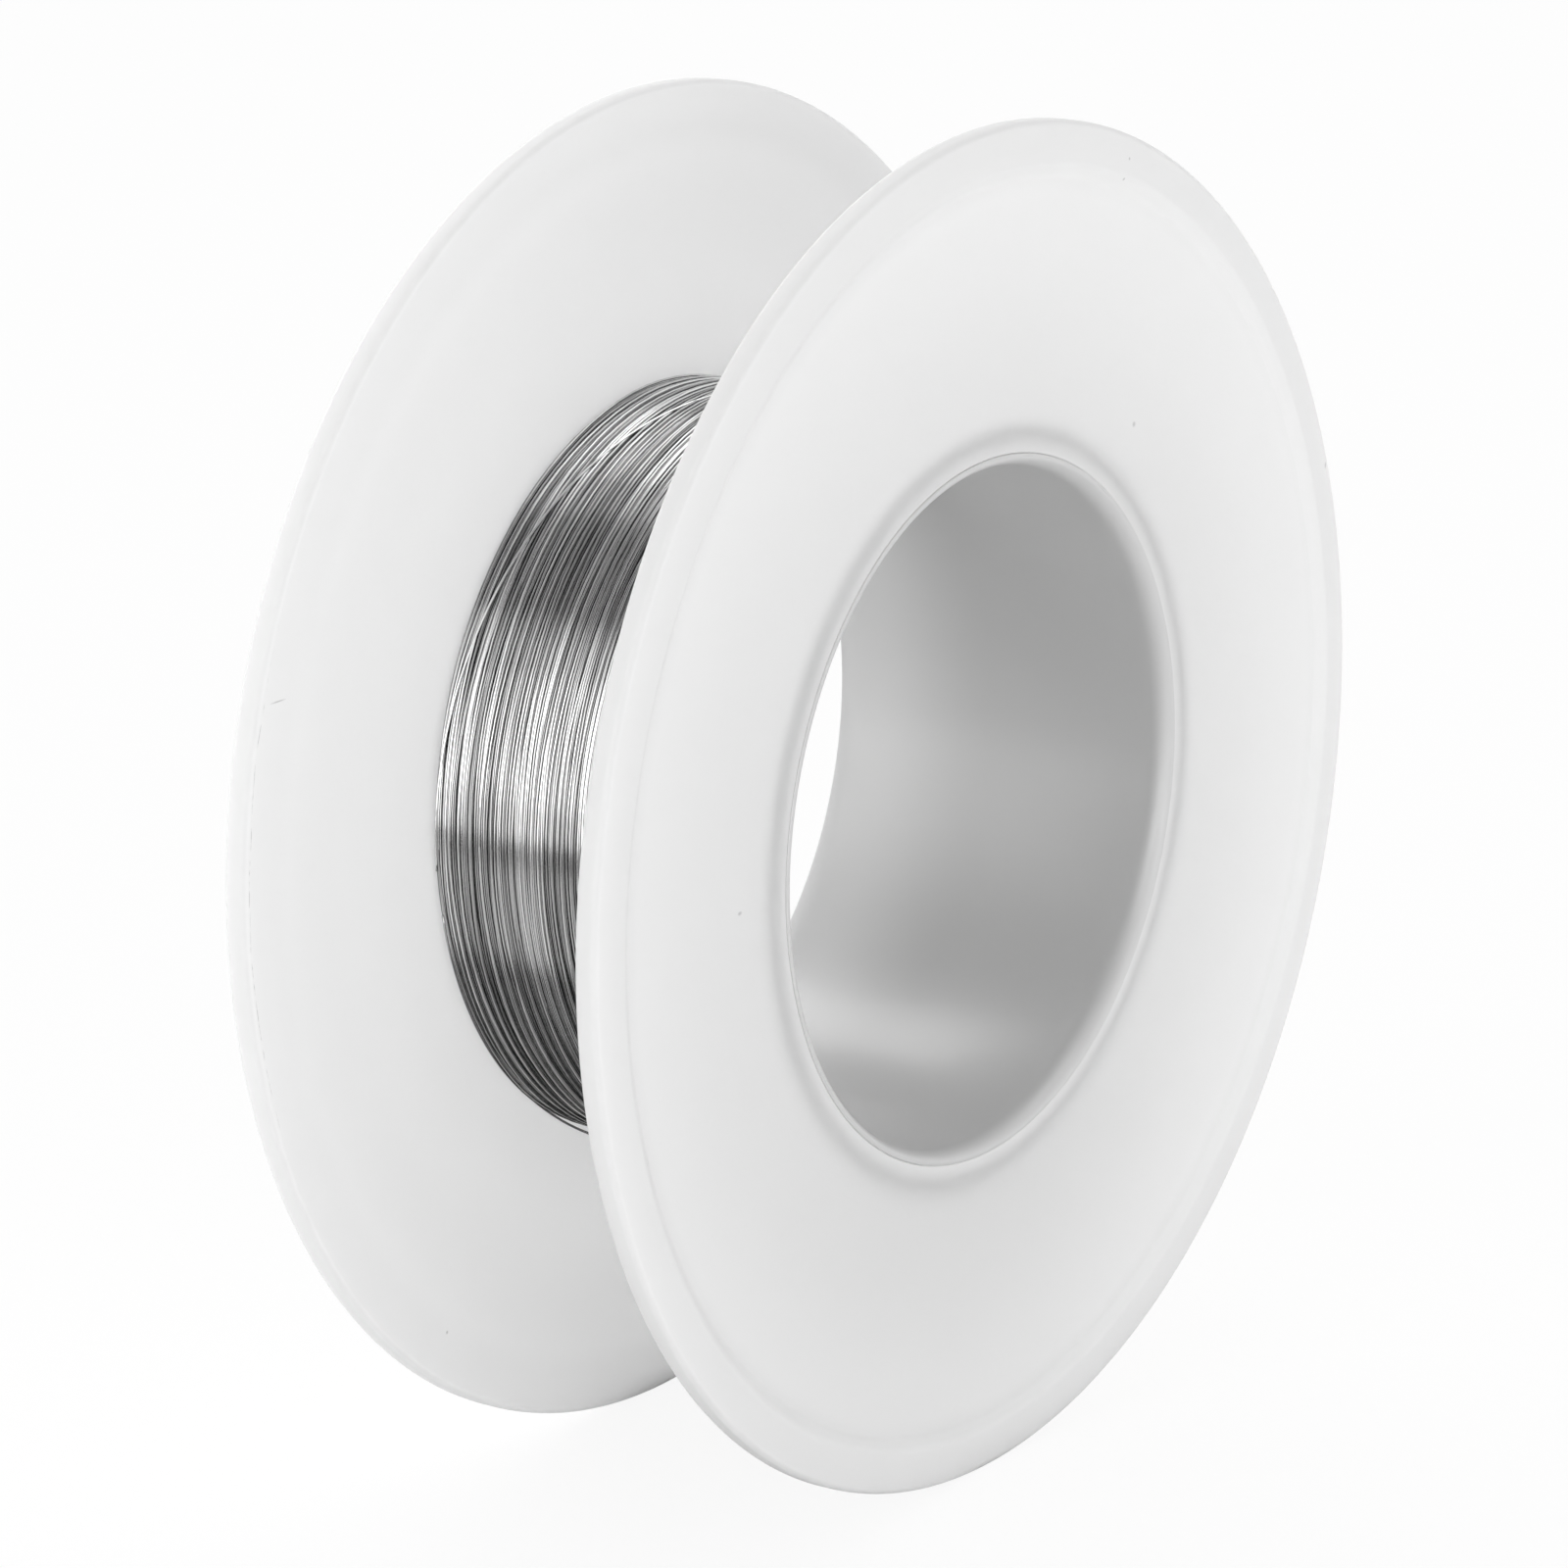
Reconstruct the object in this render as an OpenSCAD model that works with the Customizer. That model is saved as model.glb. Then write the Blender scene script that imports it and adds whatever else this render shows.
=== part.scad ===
// Flanged spool with fine solder wire. The spool stands on its two rims with
// its bore along Y; the origin is the middle of the bore. -Y is the front.
// Millimetres.

/* [Spool] */
// Diameter of both flanges
flange_d = 50; // [44:0.5:70]
// Width of the whole spool, across the two rims
spool_w = 16; // [12:0.5:30]
// Diameter of the bore
bore_d = 25; // [18:0.1:26]

/* [Flange] */
// Thickness of the raised rim
rim_t = 1.2; // [1:0.05:2]
// Radial width of the raised rim
rim_w = 1.5; // [1.2:0.1:3]
// Radius of the rim's corners
rim_round = 0.25; // [0.1:0.05:0.4]
// Thickness of the thin web inside the rim
web_t = 0.45; // [0.4:0.05:0.7]
// Depth of the web's outer face below the rim
web_drop = 0.5; // [0.25:0.05:0.55]
// Radial run of the soft step between rim and web
step_run = 0.65; // [0.2:0.05:0.8]

/* [Collar] */
// Radial thickness of the flange's collar round the tube's spigot
collar_t = 0.6; // [0.5:0.05:1]
// Length of the collar inside the web
collar_len = 1.6; // [1:0.1:3]
// Width of the flat crest of the lip round the mouth
lip_flat = 0.12; // [0.05:0.01:0.25]
// Depth of the groove round the lip, below the web's outer face
groove_depth = 0.32; // [0.1:0.02:0.36]
// Radial run of the cove that climbs from the groove to the web
cove_run = 1.4; // [0.8:0.1:2.5]

/* [Tube] */
// Wall of the tube's spigot, inside the collar
spigot_wall = 0.5; // [0.45:0.05:1]
// Radial depth of the rounding at the mouth of the bore
mouth_round = 0.4; // [0.2:0.05:0.4]
// Length of that rounding along the bore
mouth_len = 0.9; // [0.2:0.1:1]
// Radial gap between spigot and collar
spigot_gap = 0.02; // [0:0.01:0.05]

/* [Wire] */
// Diameter of the solder wire
wire_d = 0.1; // [0.08:0.01:0.15]
// Radial depth of the wire wound on the tube
wound_depth = 0.53; // [0.4:0.01:6]
// Number of turns drawn in the outer layer
turns = 22; // [8:1:22]
// Distance from the outer layer's first and last turn to the flanges
edge_gap = 0.15; // [0.1:0.05:1]
// Clearance between the outer layer and the layers below it
layer_gap = 0.02; // [0.01:0.01:0.05]
// Angle at which the wire's free end leaves the winding
lift_angle = 232; // [180:1:260]
// Angle that the free end sweeps after it lifts
free_sweep = 66; // [40:1:90]
// How far the tip of the free end stands off the winding
free_lift = 2.6; // [1:0.1:4]

/* [Hidden] */
$fn = 180;

flange_r = flange_d / 2;
half_w = spool_w / 2;
bore_r = bore_d / 2;
spigot_r = bore_r + spigot_wall;
collar_in_r = spigot_r + spigot_gap;
barrel_r = collar_in_r + collar_t;

web_outer_y = half_w - web_drop;
web_inner_y = web_outer_y - web_t;
rim_inner_y = half_w - rim_t;
shoulder_y = web_inner_y - collar_len;
lip_y = web_outer_y;
groove_y = web_outer_y - groove_depth;
lip_out_r = collar_in_r + lip_flat;
groove_r = barrel_r;
cove_r = groove_r + cove_run;
rim_in_r = flange_r - rim_w;
web_out_r = rim_in_r - step_run;
blend_steps = 8;
arc_steps = 8;

turn_r = barrel_r + wound_depth - wire_d / 2;
rings = 24;
sides = 6;
core_r = turn_r * cos(180 / rings) - wire_d / 2 - layer_gap;
first_y = -web_inner_y + edge_gap + wire_d / 2;
last_y = -first_y;
free_rings = 12;
free_y = 6;
tip_straight = 2 * wire_d;

// Points from a to b along half a cosine wave in the second coordinate
function blend(a, b) = [
  for (i = [0 : blend_steps])
    let (s = i / blend_steps)
    [a.x + (b.x - a.x) * s, a.y + (b.y - a.y) * (1 - cos(180 * s)) / 2]
];

// Points of an arc about c from angle a0 to a1, with one radius for each coordinate
function arc(c, r, a0, a1) = [
  for (i = [0 : arc_steps])
    let (a = a0 + (a1 - a0) * i / arc_steps)
    [c.x + r.x * cos(a), c.y + r.y * sin(a)]
];

// Half section of the flange, as [radius, distance from the middle]
function flange_section() = concat(
  [[collar_in_r, shoulder_y], [barrel_r, shoulder_y], [barrel_r, web_inner_y]],
  blend([web_out_r, web_inner_y], [rim_in_r, rim_inner_y]),
  arc([flange_r - rim_round, rim_inner_y + rim_round], [rim_round, rim_round], -90, 0),
  arc([flange_r - rim_round, half_w - rim_round], [rim_round, rim_round], 0, 90),
  blend([rim_in_r, half_w], [web_out_r, web_outer_y]),
  blend([cove_r, web_outer_y], [groove_r, groove_y]),
  blend([groove_r, groove_y], [lip_out_r, lip_y]),
  [[collar_in_r, lip_y]]
);

// A revolved section, with its axis laid along Y
module lathe(section) {
  rotate([-90, 0, 0]) rotate_extrude() polygon(section);
}

// Shoulders stop the flanges, and both mouths are rounded to a quarter ellipse
module hub_tube() {
  mouth = arc([bore_r + mouth_round, lip_y - mouth_len], [mouth_round, mouth_len], 180, 90);
  half = concat(
    mouth,
    [[spigot_r, lip_y], [spigot_r, shoulder_y], [barrel_r, shoulder_y]]
  );
  other_half = [for (i = [len(half) - 1 : -1 : 0]) [half[i].x, -half[i].y]];
  color("whitesmoke") lathe(concat(half, other_half));
}

module flange() {
  color("white") lathe(flange_section());
}

module front_flange() {
  mirror([0, 1, 0]) flange();
}

module rear_flange() {
  flange();
}

// The inner layers of wire, as one solid ring between the two webs
module wire_core() {
  color("dimgray") lathe([
    [barrel_r, -web_inner_y],
    [core_r, -web_inner_y],
    [core_r, web_inner_y],
    [barrel_r, web_inner_y]
  ]);
}

// A point on the winding: angle round the bore, radius and place along it
function on_winding(a, r, y) = [r * cos(a), y, r * sin(a)];

// The wire rises straight out of the layer below and bends into the first turn
first_angle = lift_angle - 360 * turns;
bend_r = turn_r - core_r - wire_d;
bend_angle = bend_r / turn_r * 180 / PI;
rise = concat(
  [on_winding(first_angle - bend_angle, core_r, first_y)],
  [
    for (i = [0 : 3])
      on_winding(
        first_angle - bend_angle * cos(30 * i),
        turn_r - bend_r * (1 - sin(30 * i)),
        first_y
      )
  ]
);

// The turns step steadily from the front flange to the rear one
layer = [
  for (i = [1 : rings * turns])
    on_winding(
      first_angle + 360 * i / rings,
      turn_r,
      first_y + (last_y - first_y) * i / (rings * turns)
    )
];

// The free end lifts off and springs away towards the middle of the spool
free_end = [
  for (i = [1 : free_rings])
    let (s = i / free_rings)
    on_winding(
      lift_angle + free_sweep * s,
      turn_r + free_lift * pow(s, 1.6),
      last_y - free_y * pow(s, 3)
    )
];
tip_dir = unit(free_end[free_rings - 1] - free_end[free_rings - 2]);
tip = [free_end[free_rings - 1] + tip_straight * tip_dir];
wire_path = concat(rise, layer, free_end, tip);

function unit(v) = v / norm(v);

function tangent(path, i) =
  let (before = path[max(i - 1, 0)], after = path[min(i + 1, len(path) - 1)])
  unit(after - before);

// A round ring of points square to the path, turned by the Y axis
function ring(path, i, r) =
  let (
    t = tangent(path, i),
    u = unit([0, 1, 0] - t.y * t),
    v = cross(t, u)
  )
  [for (k = [0 : sides - 1]) path[i] + r * (cos(360 * k / sides) * u + sin(360 * k / sides) * v)];

// One closed tube along a path, all in triangles
module tube_along(path, r) {
  n = len(path);
  points = [for (i = [0 : n - 1]) each ring(path, i, r)];
  walls = [
    for (i = [0 : n - 2])
      for (k = [0 : sides - 1])
        let (
          a = i * sides + k,
          b = i * sides + (k + 1) % sides,
          c = a + sides,
          d = b + sides
        )
        each [[a, c, b], [b, c, d]]
  ];
  start_cap = [for (k = [1 : sides - 2]) [0, k, k + 1]];
  end_cap = [
    for (k = [1 : sides - 2])
      [(n - 1) * sides, (n - 1) * sides + k + 1, (n - 1) * sides + k]
  ];
  polyhedron(points, concat(walls, start_cap, end_cap));
}

// Least distance between stretches of the wire at least half a turn apart
function least_gap(path) =
  min([
    for (i = [0 : len(path) - 1 - rings / 2])
      min([for (j = [i + rings / 2 : len(path) - 1]) norm(path[i] - path[j])])
  ]) - wire_d;

// The outer layer, as one unbroken wire that ends in the free end
module wire_turns() {
  echo(least_gap_between_turns = least_gap(wire_path));
  color("silver") tube_along(wire_path, wire_d / 2);
}

hub_tube();
front_flange();
rear_flange();
wire_core();
wire_turns();
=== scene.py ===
"""A flanged spool of fine solder wire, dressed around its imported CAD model.

The bore lies along Y, the origin is its middle and the spool stands on its
two rims. Lengths are in metres; those named in millimetres go through MM.
"""

import math

import bmesh
import bpy
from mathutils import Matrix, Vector

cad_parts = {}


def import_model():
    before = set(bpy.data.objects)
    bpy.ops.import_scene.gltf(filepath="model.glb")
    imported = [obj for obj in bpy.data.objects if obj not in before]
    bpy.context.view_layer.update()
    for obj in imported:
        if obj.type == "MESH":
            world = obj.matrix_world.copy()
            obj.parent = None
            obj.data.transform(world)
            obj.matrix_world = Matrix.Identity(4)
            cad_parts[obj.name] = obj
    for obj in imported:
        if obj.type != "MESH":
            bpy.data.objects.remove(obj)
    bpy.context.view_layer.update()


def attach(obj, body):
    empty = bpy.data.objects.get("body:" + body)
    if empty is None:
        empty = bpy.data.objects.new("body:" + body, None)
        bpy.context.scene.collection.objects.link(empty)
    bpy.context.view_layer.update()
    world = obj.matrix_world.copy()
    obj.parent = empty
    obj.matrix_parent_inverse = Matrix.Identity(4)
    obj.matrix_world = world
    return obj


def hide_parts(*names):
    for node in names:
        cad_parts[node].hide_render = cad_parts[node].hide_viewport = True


MM = 0.001
BODY = "root"

# ------------------------------------------------- sizes of the plastic, mm
FLANGE_R = 25.0
HALF_WIDTH = 8.0
WEB_OUTER = 7.5
WEB_INNER = 7.05
WEB_OUT_R = 22.85
RISE_R = 17.0  # from here out the web rises towards the rim
WEB_RISE = 0.2
RIM_IN_R = 23.5
RIM_INNER = 6.95
RIM_FALL = 0.12  # how far the rim's face falls towards its edge
RIM_ROUND = 0.25
COVE_R = 15.02
GROOVE_R = 13.5
GROOVE_Y = 7.41
LIP_R = 13.05
LIP_Y = 7.42
COLLAR_IN_R = 13.003
SHOULDER = 5.45
BARREL_R = 13.62
SPIGOT_R = 13.0
BORE_R = 12.5
TUBE_END = 7.46
MOUTH_ROUND = 0.4
MOUTH_DEPTH = 0.9
SEAM_DEPTH = 0.03
SEAM_ROUND = 0.05
EDGE_ROUND = 0.05
SEGMENTS = 300  # faces round each turned piece

# ---------------------------------------------------- sizes of the wire, mm
WIRE_R = 0.05
BED_R = 13.9
TOP_LAYER_R = 14.10
TURN_STEPS = 96  # points in each turn
LAYER_CLIMB = 0.04  # how far the wire rises each time it turns back
LAYER_REACH = 6.98  # how far the turns go to either side
TURN_LIFT = 0.1  # how unevenly high the turns lie
BUNCHES = 3300.0  # bunches of turns in a metre along the bore
BUNCH_TURN = 1.4  # how much a bunch changes round the drum
WANDER_RATE = 2.2  # how often these three change in a turn
LIFT_RATE = 9
TONE_RATE = 1.37

# Each layer's name, turns, passes to and fro, radius, bunching, wandering, seed
WIRE_LAYERS = (
    ("wire_lower_turns", 134, 1.0, 13.92, 0.15, 0.04, 3.1),
    ("wire_middle_turns", 118, 1.0, 14.0, 0.30, 0.1, 11.7),
    ("wire_upper_turns", 62, 2.0, 14.065, 0.30, 0.25, 23.9),
)

STRAND_SIDES = 8
FREE_STEPS = 60
LIFT_SHARE = 0.35  # share of the last turn's path that still lies on the winding
LIFT_ANGLE, LAST_ARC, FREE_SWEEP = 232, 40, 66  # degrees
FREE_LIFT, LAST_Y, FREE_Y = 2.6, 6.85, 6.0
FREE_TONE = 0.5

CROSSING_STEPS = 80
CROSSING_START, CROSSING_SWEEP = 70, 115  # degrees
CROSSING_RISE, CROSSING_Y, CROSSING_RUN = 0.03, 2.6, 4.3
CROSSING_TONE = 0.66

# ------------------------------------- finish of the plastic, with its painted shade and light, places in mm
GRAIN_SCALE, RING_SCALE, CLOUD_SCALE = 5200.0, 2600.0, 140.0
GRAIN_HEIGHT, RING_HEIGHT, CLOUD_HEIGHT = 0.35, 0.5, 0.6
BUMP_STRENGTH, BUMP_DEPTH = 0.12, 0.04
CLOUD_TONE, CLOUD_STRENGTH = 0.6, 0.06
ROUGH_RANGE = 0.08
PLASTIC_IOR = 1.49
COLLAR_FADE = (13.0, 13.7)  # the flange is thick inside this radius; its darker tone there is painted shade of the groove and cove
MOUTH_FADE = (6.7, 7.4)  # the tube is thick beyond this, at its mouths; the darker tone between them is painted shade in the bore
TUBE_LIGHT_FADE = (0.0, 6.5)  # painted light: the tube's tone lightens towards its rear end, where light comes in at the rear mouth
# Painted shade: from here out the rim's tone is darker than the web's.
RIM_SHADE_FADE = (WEB_OUT_R - 0.6, RIM_IN_R)
# Painted shade: a darker band round the rim's outer edge.
EDGE_SHADE_FADE, EDGE_SHADE_TONE = (24.8, 24.95), 0.75

# Small dark marks: the middle of each, and half its size. A mark fades out at
# MARK_REACH times its half size.
MARK_REACH = 1.5
MARK_TONE, MARK_STRENGTH = 0.15, 0.4
FRONT_MARKS = (
    ((9.65, -7.5, 12.5), (0.09, 0.2, 0.09)),
    ((23.18, -8.0, 8.45), (0.07, 0.2, 0.12)),
    ((-15.95, -7.5, 0.05), (0.1, 0.2, 0.06)),
    ((8.37, -8.0, 22.61), (0.05, 0.2, 0.05)),
    ((7.98, -7.95, 21.92), (0.05, 0.2, 0.05)),
    ((-22.07, -7.6, -7.27), (0.2, 0.3, 0.025)),
)
REAR_MARKS = (
    ((-22.9, 7.0, 6.95), (0.35, 0.35, 0.025)),
    ((-13.74, 7.0, -18.75), (0.06, 0.2, 0.06)),
)

# The worn line: its radius and half width, how it wavers, and where it breaks and ends
WORN_TONE, WORN_STRENGTH = 0.2, 0.45
WORN_R, WORN_HALF, WORN_REACH = 24.78, 0.018, 1.4
WORN_FADE = (7.2, 7.25)
WORN_WOBBLE, WORN_WOBBLE_RATE = 0.16, 9.0
WORN_BREAK_RATE = 34.0
WORN_BREAKS = ((0.0, 0.0), (0.44, 0.0), (0.62, 1.0))
WORN_PART = ((0.0, 0.0), (0.88, 0.0), (0.93, 1.0))

# ------------------------------------------------------- finish of the wire
WIRE_TONES = (0.15, 0.78)
WIRE_TONE_STOPS = ((0.32, 0.0), (0.68, 1.0))
WIRE_CLOUD_SCALE = 700.0
WIRE_ROUGHNESS, WIRE_ROUGH_RANGE = 0.1, 0.1

# ------------------------------------------------------------------- studio
CAMERA_PLACE = (-0.20992, -0.14064, 0.069575)
CAMERA_AZIMUTH, CAMERA_ELEVATION = -55.903, 15.426  # degrees
CAMERA_LENS, CAMERA_SENSOR = 164.22, 36.0
CAMERA_CLIP = (0.01, 20.0)

FLOOR_SIZE, FLOOR_TONE = 8.0, 0.9
FLOOR_WHITE = 1.03
FLOOR_CLEAR, FLOOR_CLEAR_IN_GLOSS = 0.86, 0.6  # the rest shows the object's shadow
CARD_TONE = 0.06

# Each soft side of the sky: the way it lies and its strength
SKY_SIDES = (((0.6, 0.8, 0.0), 2.31), ((-0.5, -0.85, 0.1), 1.07))

# Each lamp's name, place, size, power in watts and what it points at, in metres
LAMPS = (
    ("left_rear", (-0.45, 0.13, 0.08), (0.2, 0.4), 0.58, (0, 0, 0)),
    ("low_left", (-0.3, -0.35, 0.03), (0.6, 0.09), 0.49, (0, 0, 0)),
    ("bounce", (0.0, -0.045, -0.0185), (0.12, 0.012), 0.0017, (0, 0, -0.01)),
)
GLEAMS = (
    ("left_faint_gleam", (-0.3115, 0.03, 0.2347), (0.36, 0.0682), 0.077, (0, 0, 0)),
    ("left_soft_gleam", (-0.3444, 0.03, 0.1831), (0.36, 0.0545), 0.136, (0, 0, 0)),
    ("left_gleam", (-0.3709, 0.03, 0.1205), (0.36, 0.082), 0.32, (0, 0, 0)),
    ("left_low_gleam", (-0.204, 0.03, 0.024), (0.25, 0.2), 0.25, (-0.057, 0.03, 0.286)),
    ("above_gleam", (0.16, 0.02, 0.47), (0.2, 0.26), 0.5, (0, 0, 0)),
    ("above_rear_gleam", (0.13, 0.29, 0.43), (0.18, 0.18), 0.5, (0, 0, 0)),
)

# Each dark card's name, its two long edges as (x, z) and its width, in metres
CARDS = (
    ("card_above", (-0.042, 0.297), (-0.2, 0.223), 0.5),
    ("card_low", (-0.114, -0.0245), (-0.078, -0.0245), 0.3),
    ("card_under", (-0.030, -0.0245), (0.04, -0.0245), 0.3),
)


# ------------------------------------------------------------- node helpers
class Socket:
    """A node's output that takes part in arithmetic: each step is a Math node."""

    def __init__(self, tree, socket):
        self.tree, self.socket = tree, socket

    def maths(self, operation, *others):
        inputs = dict(enumerate((self, *others)))
        return self.tree.node("ShaderNodeMath", {"operation": operation}, inputs)[0]

    def __add__(self, other):
        return self.maths("ADD", other)

    def __sub__(self, other):
        return self.maths("SUBTRACT", other)

    def __rsub__(self, other):
        return self * -1 + other

    def __mul__(self, other):
        return self.maths("MULTIPLY", other)

    def __truediv__(self, other):
        return self.maths("DIVIDE", other)

    def __pow__(self, other):
        return self.maths("POWER", other)

    __radd__ = __add__
    __rmul__ = __mul__


class Node:
    """A node whose outputs are taken by name or number."""

    def __init__(self, tree, node):
        self.tree, self.node = tree, node

    def __getitem__(self, key):
        return Socket(self.tree, self.node.outputs[key])


class Tree:
    """A shader or geometry tree that nodes are added to."""

    def __init__(self, nodes):
        self.nodes = nodes
        nodes.nodes.clear()

    def node(self, kind, settings=None, inputs=None):
        """Adds a node: its settings first, then values or links for its inputs."""
        made = self.nodes.nodes.new(kind)
        for name, value in (settings or {}).items():
            if name == "stops":
                self.set_stops(made.color_ramp, value)
            else:
                setattr(made, name, value)
        for key, value in (inputs or {}).items():
            self.feed(made.inputs[key], value)
        return Node(self, made)

    def feed(self, socket, value):
        if isinstance(value, Node):
            value = value[0]
        if isinstance(value, Socket):
            self.nodes.links.new(value.socket, socket)
        else:
            socket.default_value = value

    @staticmethod
    def set_stops(ramp, stops):
        for spare in list(ramp.elements)[1:]:
            ramp.elements.remove(spare)
        ramp.elements[0].position, ramp.elements[0].color = stops[0][0], grey(stops[0][1])
        for place, value in stops[1:]:
            ramp.elements.new(place).color = grey(value)

    def vector(self, operation, a, b):
        return self.node("ShaderNodeVectorMath", {"operation": operation}, {0: a, 1: b})

    def mix_colours(self, factor, a, b):
        settings = {"data_type": "RGBA", "clamp_factor": True}
        return self.node("ShaderNodeMix", settings, {0: factor, 6: a, 7: b})[2]

    def ramp(self, value, stops):
        """Runs a value through straight steps, given as (place, value) pairs."""
        return self.node("ShaderNodeValToRGB", {"stops": stops}, {0: value})[0]

    def noise(self, vector, scale, detail=2.0, rough=0.5):
        inputs = {"Vector": vector, "Scale": scale, "Detail": detail, "Roughness": rough}
        return self.node("ShaderNodeTexNoise", None, inputs)[0]

    def noise_along(self, place, scale, detail=2.0, rough=0.5):
        """Noise that changes along one measure only."""
        inputs = {"W": place, "Scale": scale, "Detail": detail, "Roughness": rough}
        return self.node("ShaderNodeTexNoise", {"noise_dimensions": "1D"}, inputs)[0]


def grey(value):
    return (value, value, value, 1.0)


def in_metres(lengths):
    return tuple(length * MM for length in lengths)


# ---------------------------------------------------------------- materials
def new_material(name):
    material = bpy.data.materials.new(name)
    material.use_nodes = True
    return material, Tree(material.node_tree)


def round_the_bore(tree):
    """Object coordinates, then distance and angle round the bore, and place along it."""
    place = tree.node("ShaderNodeTexCoord")["Object"]
    split = tree.node("ShaderNodeSeparateXYZ", None, {0: place})
    x, z = split["X"], split["Z"]
    return place, (x * x + z * z) ** 0.5, z.maths("ARCTAN2", x), split["Y"]


def step_up(tree, value, start, end):
    """A smooth step from 0 to 1 between two measures given in millimetres."""
    settings = {"interpolation_type": "SMOOTHSTEP"}
    return tree.node("ShaderNodeMapRange", settings, {0: value, 1: start * MM, 2: end * MM})[0]


# Where the flange is thick round its collar; the darker tone there is painted shade of its
# groove and cove.
def collar_thickness_and_shade(tree, radius, along):
    return 1 - step_up(tree, radius, *COLLAR_FADE)


# Where the tube is thick, at its mouths; its darker tone between them is painted shade in the
# bore.
def mouth_thickness_and_bore_shade(tree, radius, along):
    return step_up(tree, along.maths("ABSOLUTE"), *MOUTH_FADE)


def marks_on(tree, place, marks):
    """Small dark marks, each given by its middle and half its size in millimetres."""
    found = 0
    for middle, half_size in marks:
        offset = tree.vector("SUBTRACT", place, in_metres(middle))
        shape = tree.vector("DIVIDE", offset, in_metres(half_size))
        reach = tree.node("ShaderNodeVectorMath", {"operation": "LENGTH"}, {0: shape})["Value"]
        found = (MARK_REACH - reach).maths("MAXIMUM", found)
    return found.maths("MINIMUM", 1.0)


def worn_line(tree, radius, angle, along):
    """A broken dark line round part of the rear rim's inner corner."""
    wobble = tree.noise_along(angle, WORN_WOBBLE_RATE, 2.0) * WORN_WOBBLE
    off_line = ((radius - WORN_R * MM) / MM + wobble).maths("ABSOLUTE")
    line = WORN_REACH - off_line / WORN_HALF
    broken = tree.ramp(tree.noise_along(angle, WORN_BREAK_RATE, 3.0), WORN_BREAKS)
    part = tree.ramp(angle.maths("ABSOLUTE") / math.pi, WORN_PART)
    inner_side = 1 - step_up(tree, along, *WORN_FADE)
    return (line * broken * part * inner_side).maths("MAXIMUM", 0.0).maths("MINIMUM", 1.0)


def moulded_plastic(
    name,
    tones,
    roughness,
    gloss,
    depth,
    thick,
    rim_shade_tone=None,
    rear_light_tone=None,
    marks=(),
    worn=False,
):
    """Milky moulded plastic: light passes through it but for where it is thick.

    The first tone is that of the thin plastic and the second that of the thick
    plastic; their difference is painted shade, round the flange's collar and in
    the tube's bore. Depth is how far light spreads in it, in millimetres.
    """
    material, tree = new_material(name)
    place, radius, angle, along = round_the_bore(tree)
    grain = tree.noise(place, GRAIN_SCALE, 2.0)
    rings = tree.noise_along(radius, RING_SCALE, 3.0, 0.6)
    clouds = tree.noise(place, CLOUD_SCALE, 3.0, 0.55)
    thickness_and_shade = thick(tree, radius, along)
    shade = grey(tones[0])
    # Painted light: the tube grows lighter towards the rear of the bore.
    if rear_light_tone:
        to_lit_rear = step_up(tree, along, *TUBE_LIGHT_FADE)
        shade = tree.mix_colours(to_lit_rear, shade, grey(rear_light_tone))
    shade = tree.mix_colours(thickness_and_shade, shade, grey(tones[1]))
    # Painted shade: the rim is darker than the web, and darker still at its outer edge.
    if rim_shade_tone:
        on_shaded_rim = step_up(tree, radius, *RIM_SHADE_FADE)
        at_shaded_edge = step_up(tree, radius, *EDGE_SHADE_FADE)
        shade = tree.mix_colours(on_shaded_rim, shade, grey(rim_shade_tone))
        # painted shade along the rim's outer edge
        shade = tree.mix_colours(at_shaded_edge, shade, grey(EDGE_SHADE_TONE))
    shade = tree.mix_colours(clouds * CLOUD_STRENGTH, shade, grey(CLOUD_TONE))
    if marks:
        marked = marks_on(tree, place, marks) * MARK_STRENGTH
        shade = tree.mix_colours(marked, shade, grey(MARK_TONE))
    if worn:
        line = worn_line(tree, radius, angle, along) * WORN_STRENGTH
        shade = tree.mix_colours(line, shade, grey(WORN_TONE))
    height = grain * GRAIN_HEIGHT + rings * RING_HEIGHT + clouds * CLOUD_HEIGHT
    surface = {"Strength": BUMP_STRENGTH, "Distance": BUMP_DEPTH * MM, "Height": height}
    looks = {
        "Base Color": shade,
        "Roughness": rings * ROUGH_RANGE + clouds * ROUGH_RANGE + (roughness - ROUGH_RANGE),
        "IOR": PLASTIC_IOR,
        "Specular IOR Level": gloss,
        "Normal": tree.node("ShaderNodeBump", None, surface),
    }
    milky = {
        "Subsurface Weight": 1.0,
        "Subsurface Radius": in_metres((depth, depth, depth)),
        "Subsurface Scale": 1.0,
    }
    thin = tree.node("ShaderNodeBsdfPrincipled", None, {**looks, **milky})
    solid = tree.node("ShaderNodeBsdfPrincipled", None, looks)
    mixed = tree.node("ShaderNodeMixShader", None, {0: thickness_and_shade, 1: thin, 2: solid})
    tree.node("ShaderNodeOutputMaterial", None, {"Surface": mixed})
    return material


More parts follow.
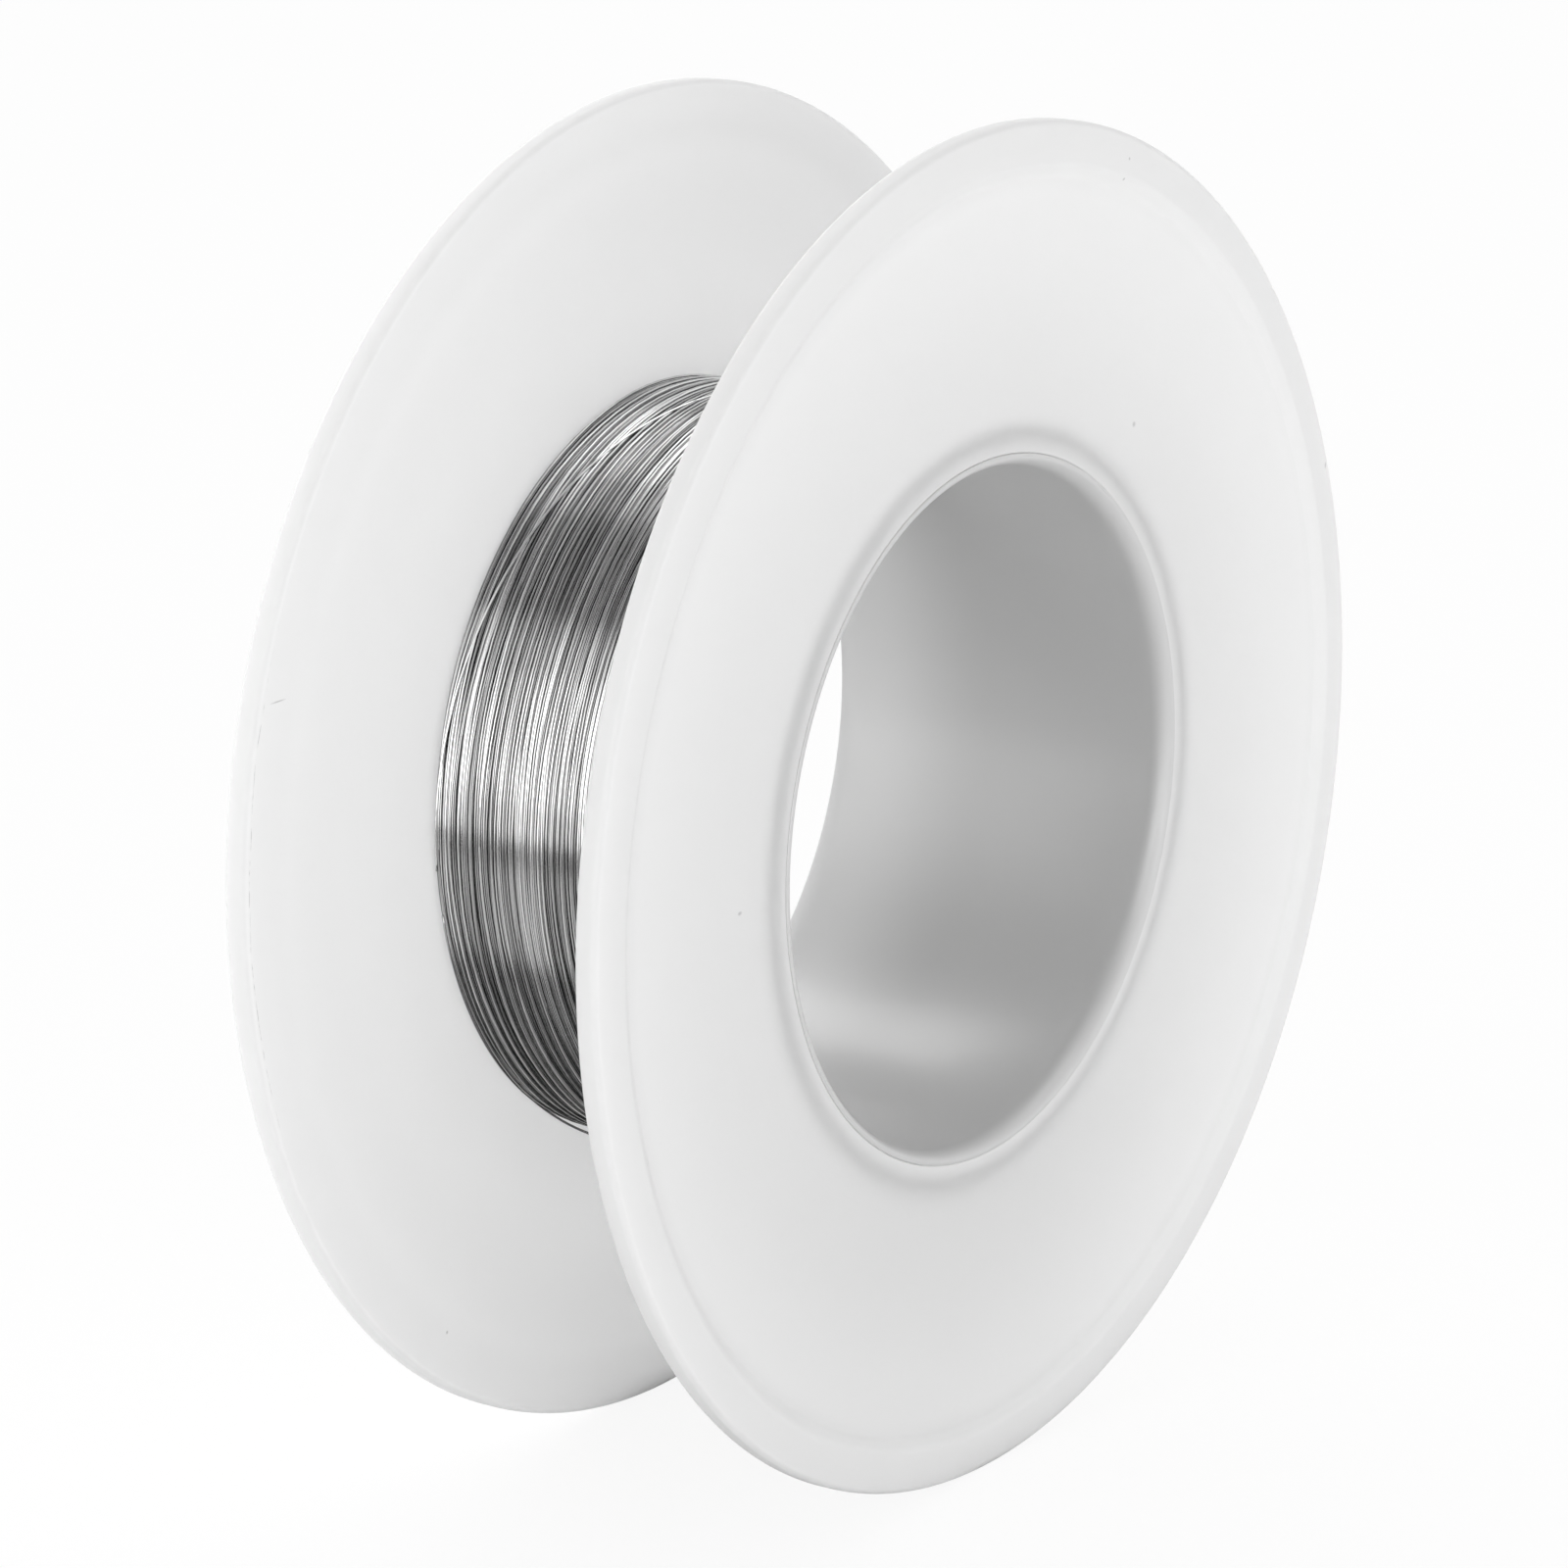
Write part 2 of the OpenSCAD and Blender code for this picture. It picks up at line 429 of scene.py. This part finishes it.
def bright_wire(name):
    """Bright solder, its tone changing slowly along each strand."""
    material, tree = new_material(name)
    place = tree.node("ShaderNodeTexCoord")["Object"]
    tone = tree.node("ShaderNodeAttribute", {"attribute_name": "strand_tone"})["Fac"]
    clouds = tree.noise(place, WIRE_CLOUD_SCALE, 2.0)
    dark, light = WIRE_TONES
    shade = tree.mix_colours(tree.ramp(tone, WIRE_TONE_STOPS), grey(dark), grey(light))
    looks = {
        "Base Color": shade,
        "Metallic": 1.0,
        "Roughness": WIRE_ROUGHNESS + clouds * WIRE_ROUGH_RANGE,
    }
    metal = tree.node("ShaderNodeBsdfPrincipled", None, looks)
    tree.node("ShaderNodeOutputMaterial", None, {"Surface": metal})
    return material


# --------------------------------------------------------------- lathe work
def arc(centre, radius, start, end, steps=8):
    """Points of a circular arc, angles in degrees."""
    angles = [math.radians(start + (end - start) * i / steps) for i in range(steps + 1)]
    return [(centre[0] + radius * math.cos(a), centre[1] + radius * math.sin(a)) for a in angles]


def blend(a, b, steps=16):
    """Points from a to b along half a cosine wave."""
    points = []
    for i in range(steps + 1):
        s = i / steps
        rise = (1 - math.cos(math.pi * s)) / 2
        points.append((a[0] + (b[0] - a[0]) * s, a[1] + (b[1] - a[1]) * rise))
    return points


def corner(before, here, after, size=EDGE_ROUND, steps=3):
    """A small round in place of a corner."""
    a, h, b = Vector(before), Vector(here), Vector(after)
    start, end = h + (a - h).normalized() * size, h + (b - h).normalized() * size
    points = []
    for i in range(steps + 1):
        s = i / steps
        points.append(tuple(start * (1 - s) ** 2 + h * 2 * s * (1 - s) + end * s**2))
    return points


def with_support(section, near=0.03, step=1.0):
    """Adds points close to the ends of long runs, and along them."""
    points = []
    for i, a in enumerate(section):
        b = section[(i + 1) % len(section)]
        a, b = Vector(a), Vector(b)
        length = (b - a).length
        if length < 1e-6:
            continue
        points.append(tuple(a))
        if length > 4 * near:
            inner = length - 2 * near
            count = max(1, math.ceil(inner / step))
            for k in range(count + 1):
                points.append(tuple(a.lerp(b, (near + inner * k / count) / length)))
    return points


def lathe(name, section, material):
    """Revolves a closed section, given as (radius, place along the bore) in mm."""
    section = with_support(section)
    bm = bmesh.new()
    rings = []
    for k in range(SEGMENTS):
        turn = 2 * math.pi * k / SEGMENTS
        c, s = math.cos(turn), math.sin(turn)
        rings.append([bm.verts.new((r * c * MM, y * MM, r * s * MM)) for r, y in section])
    for k in range(SEGMENTS):
        here, there = rings[k], rings[(k + 1) % SEGMENTS]
        for i in range(len(section)):
            j = (i + 1) % len(section)
            bm.faces.new((here[i], here[j], there[j], there[i]))
    return smooth_piece(name, bm, material)


def smooth_piece(name, bm, material):
    """Turns the faces outwards and shades them smooth."""
    bmesh.ops.recalc_face_normals(bm, faces=bm.faces)
    for face in bm.faces:
        face.smooth = True
    return new_piece(name, bm, material)


def new_piece(name, bm, material):
    mesh = bpy.data.meshes.new(name)
    bm.to_mesh(mesh)
    bm.free()
    mesh.materials.append(material)
    piece = bpy.data.objects.new(name, mesh)
    bpy.context.scene.collection.objects.link(piece)
    return piece


def flange_section():
    """Rear flange: collar, thin web, raised rim, then cove, groove and lip."""
    rim_mid_r = FLANGE_R - RIM_ROUND
    rise = (WEB_OUT_R, WEB_OUTER + WEB_RISE)
    return [
        *corner((COLLAR_IN_R, GROOVE_Y), (COLLAR_IN_R, SHOULDER), (BARREL_R, SHOULDER)),
        *corner((COLLAR_IN_R, SHOULDER), (BARREL_R, SHOULDER), (BARREL_R, WEB_INNER)),
        (BARREL_R, WEB_INNER),
        *blend((RISE_R, WEB_INNER), (RIM_IN_R, RIM_INNER)),
        *arc((rim_mid_r, RIM_INNER + RIM_ROUND), RIM_ROUND, -90, 0),
        *arc((rim_mid_r, HALF_WIDTH - RIM_FALL - RIM_ROUND), RIM_ROUND, 0, 90),
        *blend((RIM_IN_R, HALF_WIDTH), rise)[:-1],
        *blend(rise, (RISE_R, WEB_OUTER)),
        *blend((COVE_R, WEB_OUTER), (GROOVE_R, GROOVE_Y)),
        *blend((GROOVE_R, GROOVE_Y), (LIP_R, LIP_Y))[1:],
        (COLLAR_IN_R, LIP_Y - SEAM_DEPTH),
    ]


def tube_section():
    """Half of the tube from its mouth inwards, then the same turned round."""
    mouth = arc((1.0, -1.0), 1.0, 180, 90, 16)
    half = [
        *((BORE_R + r * MOUTH_ROUND, TUBE_END + y * MOUTH_DEPTH) for r, y in mouth),
        *arc((SPIGOT_R - SEAM_ROUND, TUBE_END - SEAM_ROUND), SEAM_ROUND, 90, 0, 6),
        (SPIGOT_R, SHOULDER),
        *corner((SPIGOT_R, SHOULDER), (BARREL_R, SHOULDER), (BARREL_R, 0)),
    ]
    return half + [(r, -y) for r, y in reversed(half)]


# ------------------------------------------------------------------ winding
def tree_inputs(group, **sockets):
    """Names a geometry tree's inputs; returns each one's identifier."""
    made = {}
    for name, kind in sockets.items():
        item = group.interface.new_socket(name=name, in_out="INPUT", socket_type=kind)
        made[name] = item.identifier
    return made


def winding_tree():
    """Geometry tree: one wire wound to and fro between the flanges."""
    group = bpy.data.node_groups.new("wind_wire", "GeometryNodeTree")
    number, whole = "NodeSocketFloat", "NodeSocketInt"
    names = tree_inputs(
        group,
        Turns=whole,
        Steps=whole,
        Passes=number,
        Radius=number,
        Climb=number,
        Reach=number,
        Wire=number,
        Bunch=number,
        Wander=number,
        Lift=number,
        Seed=number,
        Material="NodeSocketMaterial",
    )
    group.interface.new_socket(
        name="Geometry", in_out="OUTPUT", socket_type="NodeSocketGeometry"
    )
    tree = Tree(group)
    given = tree.node("NodeGroupInput")
    count = given["Turns"] * given["Steps"]
    line = tree.node("GeometryNodeCurvePrimitiveLine")
    line = tree.node("GeometryNodeResampleCurve", None, {"Curve": line, "Count": count + 1})
    turn = tree.node("GeometryNodeInputIndex")[0] / given["Steps"]
    angle = turn * (2 * math.pi)
    cos, sin = angle.maths("COSINE"), angle.maths("SINE")

    def uneven(rate, detail=1.0, rough=0.5):
        """Noise that changes so often in each turn of the wire."""
        return tree.noise_along(turn * rate + given["Seed"], 1.0, detail, rough)

    share = turn / given["Turns"] * given["Passes"]
    level = (share.maths("PINGPONG", 1.0) * 2 - 1) * given["Reach"]
    on_drum = {0: cos * BUNCH_TURN, 1: level * BUNCHES + given["Seed"], 2: sin * BUNCH_TURN}
    bunch = tree.noise(tree.node("ShaderNodeCombineXYZ", None, on_drum), 1.0, 1.0) - 0.5
    own = uneven(WANDER_RATE) - 0.5
    along = level + bunch * given["Bunch"] + own * given["Wander"]
    along = along.maths("MINIMUM", given["Reach"]).maths("MAXIMUM", given["Reach"] * -1)
    bumps = uneven(LIFT_RATE) - 0.5
    radius = given["Radius"] + share.maths("FLOOR") * given["Climb"] + bumps * given["Lift"]
    place = tree.node("ShaderNodeCombineXYZ", None, {0: cos * radius, 1: along, 2: sin * radius})
    path = tree.node("GeometryNodeSetPosition", None, {"Geometry": line, "Position": place})
    path = tree.node(
        "GeometryNodeStoreNamedAttribute",
        {"data_type": "FLOAT", "domain": "POINT"},
        {"Geometry": path, "Name": "strand_tone", "Value": uneven(TONE_RATE, 3.0, 0.7)},
    )
    section = {"Resolution": 6, "Radius": given["Wire"]}
    section = tree.node("GeometryNodeCurvePrimitiveCircle", None, section)
    wire = {"Curve": path, "Profile Curve": section, "Fill Caps": True}
    wire = tree.node("GeometryNodeCurveToMesh", None, wire)
    wire = tree.node("GeometryNodeSetShadeSmooth", None, {"Geometry": wire})
    wire = tree.node("GeometryNodeRealizeInstances", None, {"Geometry": wire})
    wire = {"Geometry": wire, "Material": given["Material"]}
    wire = tree.node("GeometryNodeSetMaterial", None, wire)
    tree.node("NodeGroupOutput", None, {0: wire})
    return group, names


def wound(name, wind, **values):
    """Runs the winding tree with these values and keeps the plain mesh."""
    group, names = wind
    maker = bpy.data.objects.new(name + "_maker", bpy.data.meshes.new(name + "_maker"))
    bpy.context.scene.collection.objects.link(maker)
    modifier = maker.modifiers.new("wind", "NODES")
    modifier.node_group = group
    for key, value in values.items():
        modifier[names[key]] = value
    graph = bpy.context.evaluated_depsgraph_get()
    mesh = bpy.data.meshes.new_from_object(maker.evaluated_get(graph))
    bpy.data.objects.remove(maker)
    mesh.name = name
    piece = bpy.data.objects.new(name, mesh)
    bpy.context.scene.collection.objects.link(piece)
    return piece


def strand(name, path, tone, material):
    """A single strand of wire along a path of points in metres."""
    bm = bmesh.new()
    turns = [2 * math.pi * k / STRAND_SIDES for k in range(STRAND_SIDES)]
    rings = []
    for i, point in enumerate(path):
        before, after = path[max(i - 1, 0)], path[min(i + 1, len(path) - 1)]
        t = (after - before).normalized()
        u = (Vector((0, 1, 0)) - t * t.y).normalized()
        v = t.cross(u)
        ways = [math.cos(a) * u + math.sin(a) * v for a in turns]
        rings.append([bm.verts.new(point + WIRE_R * MM * way) for way in ways])
    for a, b in zip(rings, rings[1:]):
        for k in range(STRAND_SIDES):
            j = (k + 1) % STRAND_SIDES
            bm.faces.new((a[k], a[j], b[j], b[k]))
    bm.faces.new(rings[0])
    bm.faces.new(rings[-1])
    piece = smooth_piece(name, bm, material)
    values = piece.data.attributes.new("strand_tone", "FLOAT", "POINT").data
    values.foreach_set("value", [tone] * len(values))
    return piece


def on_winding(angle, radius, along):
    """A point by its angle in degrees, and its radius and place along the bore in mm."""
    a = math.radians(angle)
    return Vector((radius * math.cos(a), along, radius * math.sin(a))) * MM


def free_end_path():
    """The last turn leaves the winding and springs out towards the front."""
    points = []
    for i in range(FREE_STEPS + 1):
        s = i / FREE_STEPS
        swing = max(0.0, s - LIFT_SHARE) / (1 - LIFT_SHARE)
        still_on = 1 - min(1.0, s / LIFT_SHARE)
        angle = LIFT_ANGLE + FREE_SWEEP * swing - LAST_ARC * still_on
        radius = TOP_LAYER_R + FREE_LIFT * swing**1.6
        points.append(on_winding(angle, radius, LAST_Y - FREE_Y * swing**3))
    return points


def crossing_path():
    """One turn that runs aslant over the others towards the rear flange."""
    points = []
    for i in range(CROSSING_STEPS + 1):
        s = i / CROSSING_STEPS
        angle = CROSSING_START + CROSSING_SWEEP * s
        radius = TOP_LAYER_R + CROSSING_RISE * math.sin(math.pi * s)
        along = CROSSING_Y + CROSSING_RUN * math.sin(0.5 * math.pi * s)
        points.append(on_winding(angle, radius, along))
    return points


# -------------------------------------------------------------------- stage
def camera():
    data = bpy.data.cameras.new("camera")
    data.lens, data.sensor_width = CAMERA_LENS, CAMERA_SENSOR
    data.clip_start, data.clip_end = CAMERA_CLIP
    eye = bpy.data.objects.new("camera", data)
    eye.location = CAMERA_PLACE
    azimuth, elevation = math.radians(CAMERA_AZIMUTH), math.radians(CAMERA_ELEVATION)
    eye.rotation_euler = (math.pi / 2 - elevation, 0.0, azimuth)
    bpy.context.scene.collection.objects.link(eye)
    bpy.context.scene.camera = eye


def floor():
    """A pale floor that rays from the camera see as nearly plain white."""
    bpy.ops.mesh.primitive_plane_add(size=FLOOR_SIZE, location=(0, 0, -FLANGE_R * MM))
    plane = bpy.context.object
    plane.name = "floor"
    material, tree = new_material("pale_floor")
    path = tree.node("ShaderNodeLightPath")
    clear = (path["Is Camera Ray"] + path["Is Transmission Ray"]) * FLOOR_CLEAR
    clear = clear + path["Is Glossy Ray"] * FLOOR_CLEAR_IN_GLOSS
    clear = clear.maths("MINIMUM", FLOOR_CLEAR)
    matt = tree.node("ShaderNodeBsdfDiffuse", None, {"Color": grey(FLOOR_TONE)})
    white = {"Color": grey(1.0), "Strength": FLOOR_WHITE}
    white = tree.node("ShaderNodeEmission", None, white)
    mixed = tree.node("ShaderNodeMixShader", None, {0: clear, 1: matt, 2: white})
    tree.node("ShaderNodeOutputMaterial", None, {"Surface": mixed})
    plane.data.materials.append(material)


def dark_card(name, start, end, width):
    """A black card beside the set that shows only as a reflection."""
    bm = bmesh.new()
    corners = [(*edge, y) for edge, y in ((start, -1), (end, -1), (end, 1), (start, 1))]
    bm.faces.new([bm.verts.new((x, y * width / 2, z)) for x, z, y in corners])
    material, tree = new_material(name)
    matt = tree.node("ShaderNodeBsdfDiffuse", None, {"Color": grey(CARD_TONE)})
    tree.node("ShaderNodeOutputMaterial", None, {"Surface": matt})
    card = new_piece(name, bm, material)
    card.visible_camera = card.visible_diffuse = card.visible_shadow = False


def world():
    """Soft light from two sides of the sky, which itself is seen as plain white."""
    sky = bpy.data.worlds.new("studio")
    sky.use_nodes = True
    bpy.context.scene.world = sky
    tree = Tree(sky.node_tree)
    way = tree.node("ShaderNodeTexCoord")["Generated"]
    strength = 0.0
    for towards, power in SKY_SIDES:
        side = tree.vector("DOT_PRODUCT", way, towards)["Value"]
        strength = side.maths("MAXIMUM", 0.0) * power + strength
    soft = tree.node("ShaderNodeBackground", None, {"Color": grey(1.0), "Strength": strength})
    white = tree.node("ShaderNodeBackground", None, {"Color": grey(1.0), "Strength": 1.0})
    path = tree.node("ShaderNodeLightPath")
    clear = path["Is Camera Ray"] + path["Is Glossy Ray"] + path["Is Transmission Ray"]
    clear = clear.maths("MINIMUM", 1.0)
    mixed = tree.node("ShaderNodeMixShader", None, {0: clear, 1: soft, 2: white})
    tree.node("ShaderNodeOutputWorld", None, {"Surface": mixed})


def lamp(name, place, size, power, aim, lights_all=True):
    """A soft rectangular lamp; some show only as reflections."""
    data = bpy.data.lights.new(name, "AREA")
    data.shape = "RECTANGLE"
    data.size, data.size_y = size
    data.energy = power
    light = bpy.data.objects.new(name, data)
    light.location = place
    light.rotation_euler = (Vector(aim) - Vector(place)).to_track_quat("-Z", "Y").to_euler()
    light.visible_camera = False
    light.visible_diffuse = lights_all
    bpy.context.scene.collection.objects.link(light)


def studio():
    bpy.context.scene.view_settings.view_transform = "Standard"
    camera()
    floor()
    world()
    for values in LAMPS:
        lamp(*values)
    for values in GLEAMS:
        lamp(*values, lights_all=False)
    for values in CARDS:
        dark_card(*values)


# --------------------------------------------------------------------- main
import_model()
studio()

# On the flanges the thick tone is painted shade round the collar, and the rim tone is painted
# shade on the rim.
flange_looks = {"roughness": 0.5, "gloss": 0.12, "thick": collar_thickness_and_shade}
front_plastic = moulded_plastic(
    "flange_plastic",
    (0.9, 0.83),
    depth=2.0,
    rim_shade_tone=0.84,
    marks=FRONT_MARKS,
    **flange_looks,
)
# Painted light: the rear flange's tones are lighter than the front's, to lift the shade between
# the flanges.
rear_plastic = moulded_plastic(
    "worn_flange_plastic",
    (0.92, 0.83),
    depth=3.0,
    rim_shade_tone=0.89,
    marks=REAR_MARKS,
    worn=True,
    **flange_looks,
)
# The tube's darker tone in its middle is painted shade in the bore.
tube_plastic = moulded_plastic(
    "tube_plastic",
    (0.53, 0.68),
    roughness=0.3,
    gloss=0.5,
    depth=1.0,
    thick=mouth_thickness_and_bore_shade,
    # painted light in the rear of the bore
    rear_light_tone=0.7,
)
solder = bright_wire("solder")

rear = lathe("rear_flange_body", flange_section(), rear_plastic)
mirrored = [(r, -y) for r, y in reversed(flange_section())]
front = lathe("front_flange_body", mirrored, front_plastic)
tube = lathe("hub_tube_body", tube_section(), tube_plastic)

# The wire bed has no strand_tone, so it takes the darkest solder tone: painted shade in the gaps
# between strands.
bed = [
    (BARREL_R, -WEB_INNER),
    (BED_R, -WEB_INNER),
    (BED_R, WEB_INNER),
    (BARREL_R, WEB_INNER),
]
core = lathe("wire_bed", bed, solder)

wind = winding_tree()
layers = [
    wound(
        name,
        wind,
        Turns=turns,
        Steps=TURN_STEPS,
        Passes=passes,
        Radius=radius * MM,
        Climb=LAYER_CLIMB * MM,
        Reach=LAYER_REACH * MM,
        Wire=WIRE_R * MM,
        Bunch=bunch * MM,
        Wander=wander * MM,
        Lift=TURN_LIFT * MM,
        Seed=seed,
        Material=solder,
    )
    for name, turns, passes, radius, bunch, wander, seed in WIRE_LAYERS
]
crossing = strand("wire_crossing_turn", crossing_path(), CROSSING_TONE, solder)
free_end = strand("wire_free_end", free_end_path(), FREE_TONE, solder)

for piece, slot, nodes in (
    (rear, "flange_plastic", ["rear_flange"]),
    (front, "flange_plastic", ["front_flange"]),
    (tube, "tube_plastic", ["hub_tube"]),
    (core, "solder", ["wire_core"]),
    *((layer, "solder", ["wire_turns"]) for layer in layers),
    (crossing, "solder", ["wire_turns"]),
    (free_end, "solder", ["wire_turns"]),
):
    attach(piece, BODY)
    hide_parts(*nodes)
